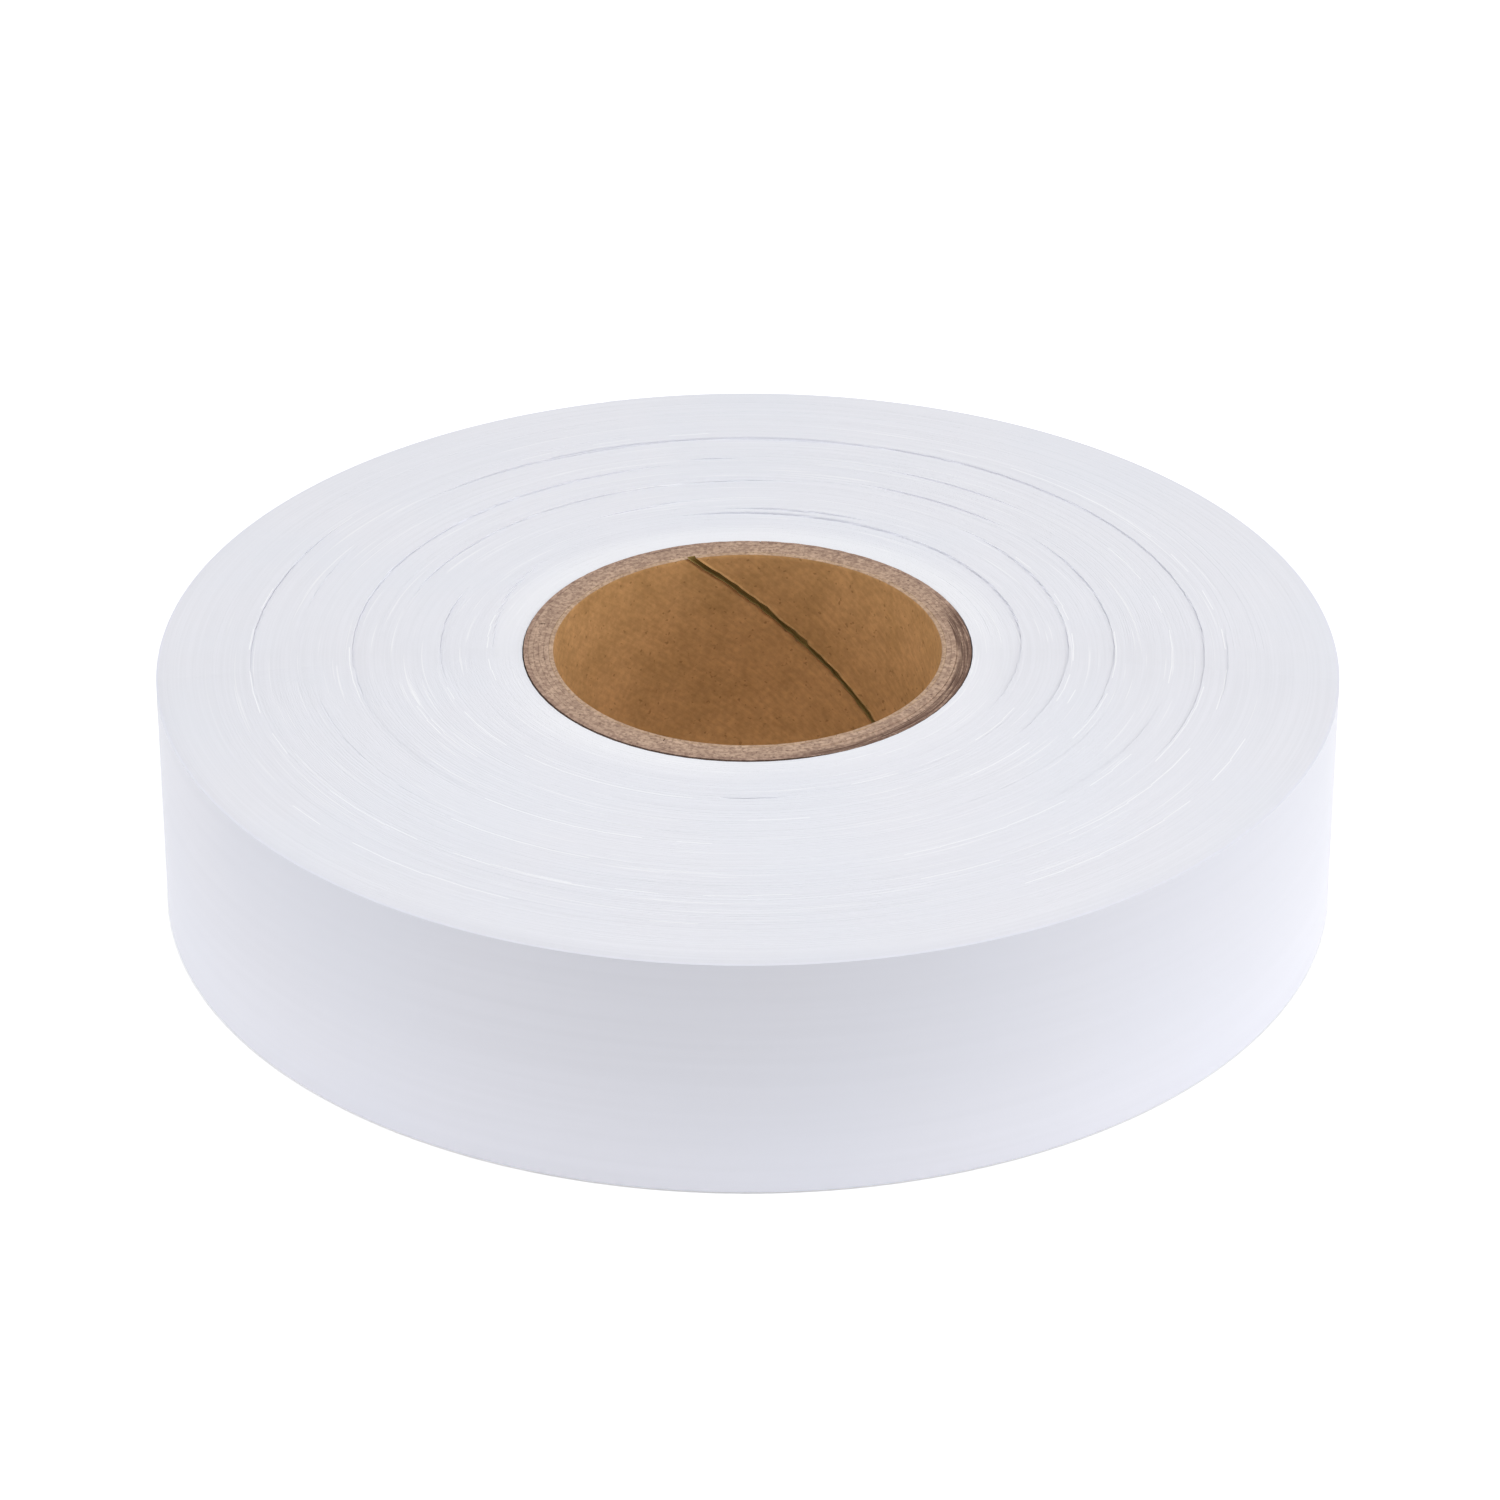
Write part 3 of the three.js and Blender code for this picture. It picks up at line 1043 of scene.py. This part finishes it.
# Lines of painted highlight on the turns' upper edges, as knots of angle and radius
HIGHLIGHT_LINES = tuple(HighlightLine(knots) for knots in (
    ((143, 50.5), (190, 50.4), (230, 49.95), (262, 49.5), (275, 49.3)),
    ((289, 49.25), (316, 49.1), (337, 48.8)),
    ((344, 49.0), (366, 48.95)),
    ((211, 54.3), (240, 54.0), (266, 53.95)),
    ((299, 53.5), (330, 53.1), (346, 52.8)),
    ((230, 45.3), (251, 45.2)),
    ((286, 45.0), (310, 44.75), (330, 44.5)),
    ((176, 40.25), (200, 40.15)),
    ((231, 40.35), (263, 40.25)),
    ((331, 38.0), (370, 37.95)),
    ((197, 35.0), (218, 35.1)),
    ((199, 35.35), (212, 35.4)),
    ((271, 35.6), (281, 35.6)),
    ((311, 34.8), (323, 34.8)),
    ((330, 34.6), (345, 34.7)),
    ((342, 33.5), (370, 33.6), (395, 34.0)),
    ((194, 31.4), (215, 31.35), (262, 31.45)),
    ((283, 30.15), (335, 29.95)),
    ((165, 26.8), (194, 26.35)),
    ((8, 48.85), (28, 48.8), (67, 48.9)),
    ((92, 47.8), (122, 47.8)),
    ((-10, 43.6), (28, 43.45)),
    ((330, 47.1), (352, 47.1)),
))


class StripSide(IntEnum):
    """The four long sides of the film, in the order in which its quads go round it."""

    LOWER_EDGE = 0
    OUTER_FACE = 1
    UPPER_EDGE = 2
    INNER_FACE = 3


@dataclass
class Film:
    """The film: one strip wound from the core outwards, with a free end that peels off."""

    width: float = 25.4
    inner_radius: float = 23.07
    outer_radius: float = 60.0
    turns: int = 346
    outer_turns: int = 2
    winding_steps: int = 72
    outer_steps: int = 360
    air: float = 0.004
    free_end_angle: float = 105.0
    rim_height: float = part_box("tape_tail")[1].z / MM
    inner_rise: float = 0.7
    rise_width: float = 16.8
    rim_rounding: float = 0.22
    rim_width: float = 1.8
    off_centre: tuple[float, float] = (-0.35, 1.05)
    core_slack: tuple[float, float] = (-0.03, -0.05)
    slack_depth: float = 4.0
    turn_unevenness: float = 0.004
    turn_seed: int = 7
    quiet_turns: float = 50.0
    quiet_share: float = 0.25
    streaks: int = 24
    streak_turns: tuple[int, int] = (4, 322)
    streak_angle: Range = (265.0, 85.0)
    streak_span: Range = (10.0, 55.0)
    streak_height: Range = (0.01, 0.035)
    streak_ease: float = 5.0
    dash_seed: int = 90
    disc_radius: float = 0.24
    disc_places: tuple[float, float, float] = (0.25, 0.75, 0.745)
    wall_share: float = 2.3
    root_gap: float = 0.00002
    tail_rows: int = 12
    tail_curl: float = 1.5
    tail_lift: float = 0.55
    tail_lift_length: float = 9.0
    bend_length: float = 20.0

    def build(self) -> list[bpy.types.Object]:
        """Builds and dresses the wound film, its outermost turns and its free end.

        Returns:
            The pieces.
        """
        return [self.winding(), self.outermost(), self.free_end()]

    @property
    def pitch(self) -> float:
        """Radius gained in one turn."""
        return (self.outer_radius - self.inner_radius) / self.turns

    @property
    def hinge(self) -> Vector:
        """Point of the line about which the free end peels, in metres."""
        return Vector(frame["joints"][0]["pos_m"])

    @property
    def root_turn(self) -> float:
        """How many turns lie below the root of the free end."""
        root = math.degrees(math.atan2(self.hinge.y, self.hinge.x))
        return self.turns - (self.free_end_angle - root) / 360.0

    def angle(self, turn: np.ndarray) -> np.ndarray:
        """Angle after a number of turns, from 0 to 360."""
        return (self.free_end_angle - 360.0 * (self.turns - turn)) % 360.0

    def radius(self, turn: np.ndarray) -> np.ndarray:
        """Inner radius after a number of turns, which are off centre in the middle of the roll.

        Args:
            turn: Number of turns.

        Returns:
            Radii in millimetres.
        """
        plain = self.inner_radius + self.pitch * turn
        depth = np.clip((plain - self.inner_radius) / (self.outer_radius - self.inner_radius), 0.0, 1.0)
        swing = np.sin(np.pi * depth)
        slack = np.clip(1.0 - (plain - self.inner_radius) / self.slack_depth, 0.0, 1.0)
        angle = self.angle(turn)
        way = np.radians(angle)
        sideways = self.off_centre[0] * swing + self.core_slack[0] * slack
        backwards = self.off_centre[1] * swing + self.core_slack[1] * slack
        return plain + sideways * np.cos(way) + backwards * np.sin(way) + oval(angle) * (1.0 - depth) ** 2

    def upper_edge(self, turn: np.ndarray) -> np.ndarray:
        """Height of the film's upper edge after a number of turns.

        Args:
            turn: Number of turns.

        Returns:
            Heights in millimetres.
        """
        plain = self.inner_radius + self.pitch * turn
        angle = self.angle(turn)
        rise = self.inner_rise * smooth_step((self.outer_radius - plain) / self.rise_width)
        rim = self.rim_rounding * np.clip(1.0 - (self.outer_radius - plain) / self.rim_width, 0.0, 1.0) ** 2
        shifts = sum(shift.relief(plain, angle, self.pitch) for shift in SIDE_SHIFTS)
        return self.rim_height + rise - rim + shifts + self.unevenness(turn, angle)

    def unevenness(self, turn: np.ndarray, angle: np.ndarray) -> np.ndarray:
        """Small differences from turn to turn, and short streaks where one turn stands proud.

        Args:
            turn: Number of turns.
            angle: Angles there.

        Returns:
            Heights in millimetres.
        """
        rng = np.random.default_rng(self.turn_seed)
        count = self.turns + 2
        level = rng.normal(size=count)
        sway = rng.normal(size=count)
        phase = rng.uniform(0.0, 360.0, count)
        number = np.floor(turn).astype(int)
        fine = level[number] + sway[number] * np.cos(np.radians(angle - phase[number]))
        total = self.turn_unevenness * fine
        for _ in range(self.streaks):
            where = rng.integers(*self.streak_turns)
            start = rng.normal(*self.streak_angle)
            span = rng.uniform(*self.streak_span)
            height = rng.uniform(*self.streak_height)
            fade = eased((angle - start) % 360.0, span, self.streak_ease)
            total = total + np.where(number == where, height * fade, 0.0)
        inward = smooth_step((self.turns - turn) / self.quiet_turns)
        return total * (self.quiet_share + (1.0 - self.quiet_share) * inward)

    def strip(self, name: str, turn: np.ndarray, seat: np.ndarray | float = 0.0) -> bpy.types.Object:
        """Builds a stretch of the wound film as a closed strip.

        Args:
            name: The piece's name.
            turn: Number of turns at each step along it.
            seat: How much deeper its inner face reaches than the film is thick.

        Returns:
            The piece, with its four long edges sharp.
        """
        angle = self.angle(turn)
        inner = self.radius(turn) - seat
        outer = self.radius(turn + 1.0) - self.air
        high = self.upper_edge(turn)
        low = high - self.width
        corners = [
            polar(inner, angle, low),
            polar(outer, angle, low),
            polar(outer, angle, high),
            polar(inner, angle, high),
        ]
        points = np.stack(corners, 1)
        sides = len(corners)
        start = np.arange(sides)
        end = (turn.size - 1) * sides + start[::-1]
        piece = make_piece(name, points, np.concatenate([band_faces(turn.size, sides), [start, end]]))
        column, corner = np.divmod(np.arange(turn.size * sides), sides)
        sharpen(piece, corner, np.isin(column, (0, turn.size - 1)))
        return piece

    def winding(self) -> bpy.types.Object:
        """Builds all the turns but the outermost, as one strip.

        Returns:
            The dressed piece.
        """
        last = self.turns - self.outer_turns
        turn = np.arange(last * self.winding_steps + 1) / self.winding_steps
        piece = self.strip("film_winding", turn)
        self.lay_out(piece)
        for finish in (FILM_EDGES, EDGE_HIGHLIGHT):
            piece.data.materials.append(finish.material())
        self.paint_highlights(piece, turn)
        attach(piece, "roll")
        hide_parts("wound_tape")
        return piece

    def paint_highlights(self, piece: bpy.types.Object, turn: np.ndarray) -> None:
        """Gives the stretches of upper edge along the highlight lines their own whiter finish, a painted
        highlight.

        Args:
            piece: The winding.
            turn: Number of turns at each step along it.
        """
        middle = (turn[:-1] + turn[1:]) / 2.0
        plain = self.inner_radius + self.pitch * (middle + 0.5)
        angle = self.angle(middle)
        seeded = enumerate(HIGHLIGHT_LINES, self.dash_seed)
        lines = [line.covers(plain, angle, self.pitch, seed) for seed, line in seeded]
        finish = np.zeros((middle.size, len(StripSide)), np.int32)
        finish[:, StripSide.UPPER_EDGE] = np.any(lines, 0)
        with_ends = np.append(finish.ravel(), [0, 0]).astype(np.int32)
        piece.data.polygons.foreach_set("material_index", with_ends)

    def lay_out(self, piece: bpy.types.Object) -> None:
        """Lays the winding's faces out flat: the upper side, the lower side, and the walls on each other.

        Args:
            piece: The winding.
        """
        mesh = piece.data
        places = np.empty(len(mesh.vertices) * 3, np.float32)
        mesh.vertices.foreach_get("co", places)
        corner = np.empty(len(mesh.loops), np.int32)
        mesh.loops.foreach_get("vertex_index", corner)
        at = places.reshape(-1, 3)[corner] / (self.outer_radius * MM) * self.disc_radius
        side = np.minimum(np.arange(corner.size) // 4, len(mesh.polygons) - 3) % 4
        step = np.minimum(np.arange(corner.size) // 16, len(mesh.polygons) // 4 - 1) % self.winding_steps
        ahead = np.isin(np.arange(corner.size) % 4, (1, 2))
        height = places.reshape(-1, 3)[corner][:, 2] / (CAD_BOX[1].z * self.wall_share)
        left, right, middle = self.disc_places
        upper = side == StripSide.UPPER_EDGE
        disc = np.stack([np.where(upper, left, right) + at[:, 0], middle + at[:, 1]], -1)
        wall = np.stack([(step + ahead) / self.winding_steps, height], -1)
        on_disc = upper | (side == StripSide.LOWER_EDGE)
        flat = np.where(on_disc[:, None], disc, wall)
        layer = mesh.uv_layers.new(name="OFBake")
        layer.data.foreach_set("uv", np.clip(flat, 0.0, 1.0).astype(np.float32).ravel())

    def outermost(self) -> bpy.types.Object:
        """Builds the outermost turns, up to the root of the free end, seated on the winding's flats.

        Returns:
            The dressed piece.
        """
        first = self.turns - self.outer_turns
        steps = int((self.root_turn - first) * self.outer_steps)
        turn = np.append(first + np.arange(steps + 1) / self.outer_steps, self.root_turn)
        half_flat = np.pi / self.winding_steps
        along_flat = 2.0 * half_flat * ((turn * self.winding_steps) % 1.0 - 0.5)
        hollow = self.radius(turn) * (1.0 - math.cos(half_flat) / np.cos(along_flat))
        piece = self.strip("film_outer_turns", turn, np.where(turn < first + 1.0, hollow, 0.0))
        piece.data.materials.append(FILM_FACE.material())
        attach(piece, "roll")
        return piece

    def free_end(self) -> bpy.types.Object:
        """Builds the free end, which lies on the roll and lifts a little at its cut.

        Returns:
            The dressed piece.
        """
        steps = int((self.turns - self.root_turn) * self.outer_steps)
        root = self.root_turn + self.root_gap
        turn = np.append(root + np.arange(steps) / self.outer_steps, self.turns)[:, None]
        level = np.linspace(0.0, 1.0, self.tail_rows + 1)
        left = (self.turns - turn) * 2.0 * np.pi * self.outer_radius
        lift = self.tail_lift * np.clip(1.0 - left / self.tail_lift_length, 0.0, 1.0) ** 2
        curl = lift * (1.0 - level) ** self.tail_curl
        inner = self.radius(turn) + curl
        outer = self.radius(turn + 1.0) - self.air + curl
        angle = self.angle(turn) + 0.0 * level
        height = self.upper_edge(turn) - self.width + level * self.width
        shells = np.stack([polar(inner, angle, height), polar(outer, angle, height)])
        piece = make_piece("film_free_end", shells, slab_faces(turn.size, level.size))
        rim = np.zeros((2, turn.size, level.size), bool)
        rim[:, [0, -1], :] = True
        rim[:, :, [0, -1]] = True
        shell = np.arange(2)[:, None, None] + np.zeros(rim.shape, int)
        sharpen(piece, np.where(rim, shell, -1).ravel())
        piece.data.materials.append(FILM_FACE.material())
        self.tie_free_end(piece)
        return piece

    def tie_free_end(self, piece: bpy.types.Object) -> None:
        """Bakes the free end's place into its mesh and hides the CAD tail.

        Args:
            piece: The free end.
        """
        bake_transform(piece)
        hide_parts("tape_tail")


@dataclass(frozen=True)
class SoftBox:
    """A rectangular studio lamp: where it stands, its size in metres and its power in watts."""

    name: str
    place: Place
    size: tuple[float, float]
    power: float
    aim: Place = (0.0, 0.0, 0.013)

    def build(self) -> bpy.types.Object:
        """Builds the lamp, turned towards its aim and out of the camera's sight.

        Returns:
            The lamp.
        """
        light = bpy.data.lights.new(self.name, "AREA")
        light.shape = "RECTANGLE"
        light.size, light.size_y = self.size
        light.energy = self.power
        lamp = bpy.data.objects.new(self.name, light)
        lamp.location = self.place
        lamp.rotation_euler = (Vector(self.aim) - Vector(self.place)).to_track_quat("-Z", "Y").to_euler()
        lamp.visible_camera = False
        bpy.context.scene.collection.objects.link(lamp)
        return lamp


@dataclass
class Studio:
    """The plain white studio: floor, surroundings, soft lamps and the camera."""

    floor_size: float = 6.0
    sheet_colour: Colour = (0.95, 0.95, 0.95)
    floor_colour: Colour = (0.55, 0.55, 0.55)
    sheet_radius: tuple[float, float] = (0.085, 0.12)
    floor_glow: tuple[float, float] = (0.35, 0.85)
    world_colour: Colour = (0.97, 0.98, 1.0)
    world_light: float = 0.265
    lens: float = 147.345
    sensor: float = 36.0
    clip_start: float = 0.01
    camera_place: Place = (0.0, -0.547813, 0.32672)
    camera_aim: Place = (0.00025, 0.002568, 0.0131)
    lamps: tuple[SoftBox, ...] = (
        SoftBox("overhead_softbox", (0.0, -0.14, 0.56), (0.56, 0.56), 1.95),
        SoftBox("left_softbox", (-0.85, -0.18, 0.35), (0.7, 0.6), 3.15),
        SoftBox("right_softbox", (0.85, -0.18, 0.35), (0.7, 0.6), 4.3),
    )

    def build(self) -> None:
        """Builds the studio and leaves the object untouched."""
        self.floor()
        self.surroundings()
        for lamp in self.lamps:
            lamp.build()
        self.camera()
        bpy.context.scene.view_settings.view_transform = "Standard"

    @staticmethod
    def seen(tree: bpy.types.NodeTree) -> Socket:
        """A socket that is 1 for rays from the camera, also those that come by way of gloss or glass.

        Args:
            tree: The nodes of a material or of the world.

        Returns:
            The socket.
        """
        path = tree.nodes.new("ShaderNodeLightPath")
        total = path.outputs["Is Camera Ray"]
        for name in ("Is Glossy Ray", "Is Transmission Ray"):
            node = tree.nodes.new("ShaderNodeMath")
            node.operation = "MAXIMUM"
            tree.links.new(total, node.inputs[0])
            tree.links.new(path.outputs[name], node.inputs[1])
            total = node.outputs[0]
        return total

    def floor(self) -> None:
        """Builds the floor with a white sheet under the roll. Both show white where no shadow falls."""
        half = self.floor_size / 2.0 / MM
        corners = np.array([(-half, -half, 0.0), (half, -half, 0.0), (half, half, 0.0), (-half, half, 0.0)])
        floor = make_piece("studio_floor", corners, [(0, 1, 2, 3)])
        sheet = NodeSheet("studio_floor", 0.9, 0.0)
        tree = sheet.tree
        surface = sheet.surface
        radius = sheet.around()[0]
        material = sheet.finish(
            sheet.mix(sheet.span(radius, *self.sheet_radius), self.sheet_colour, self.floor_colour)
        )
        glow = tree.nodes.new("ShaderNodeEmission")
        both = tree.nodes.new("ShaderNodeAddShader")
        choice = tree.nodes.new("ShaderNodeMixShader")
        tree.links.new(sheet.span(radius, *self.sheet_radius, *self.floor_glow), glow.inputs["Strength"])
        tree.links.new(surface.outputs[0], both.inputs[0])
        tree.links.new(glow.outputs[0], both.inputs[1])
        tree.links.new(self.seen(tree), choice.inputs[0])
        tree.links.new(surface.outputs[0], choice.inputs[1])
        tree.links.new(both.outputs[0], choice.inputs[2])
        tree.links.new(choice.outputs[0], tree.nodes["Material Output"].inputs["Surface"])
        floor.data.materials.append(material)

    def surroundings(self) -> None:
        """Sets the even light from all round, which shows as plain white."""
        world = bpy.data.worlds.new("studio")
        world.use_nodes = True
        tree = world.node_tree
        light = tree.nodes["Background"]
        light.inputs["Color"].default_value = (*self.world_colour, 1.0)
        light.inputs["Strength"].default_value = self.world_light
        white = tree.nodes.new("ShaderNodeBackground")
        white.inputs["Color"].default_value = (1.0, 1.0, 1.0, 1.0)
        choice = tree.nodes.new("ShaderNodeMixShader")
        tree.links.new(self.seen(tree), choice.inputs[0])
        tree.links.new(light.outputs[0], choice.inputs[1])
        tree.links.new(white.outputs[0], choice.inputs[2])
        tree.links.new(choice.outputs[0], tree.nodes["World Output"].inputs["Surface"])
        bpy.context.scene.world = world

    def camera(self) -> None:
        """Builds the camera at the photograph's viewing angle."""
        lens = bpy.data.cameras.new("camera")
        lens.lens = self.lens
        lens.sensor_width = self.sensor
        lens.clip_start = self.clip_start
        camera = bpy.data.objects.new("camera", lens)
        camera.location = self.camera_place
        way = Vector(self.camera_aim) - Vector(self.camera_place)
        camera.rotation_euler = way.to_track_quat("-Z", "Y").to_euler()
        bpy.context.scene.collection.objects.link(camera)
        bpy.context.scene.camera = camera


def main() -> None:
    """Builds the core, the film and the studio, and reports each piece."""
    logging.basicConfig(level=logging.INFO, format="%(message)s")
    for assembly in (PaperCore(), Film()):
        for piece in assembly.build():
            LOG.info("%s: %d faces", piece.name, len(piece.data.polygons))
    Studio().build()


if __name__ == "__main__":
    main()
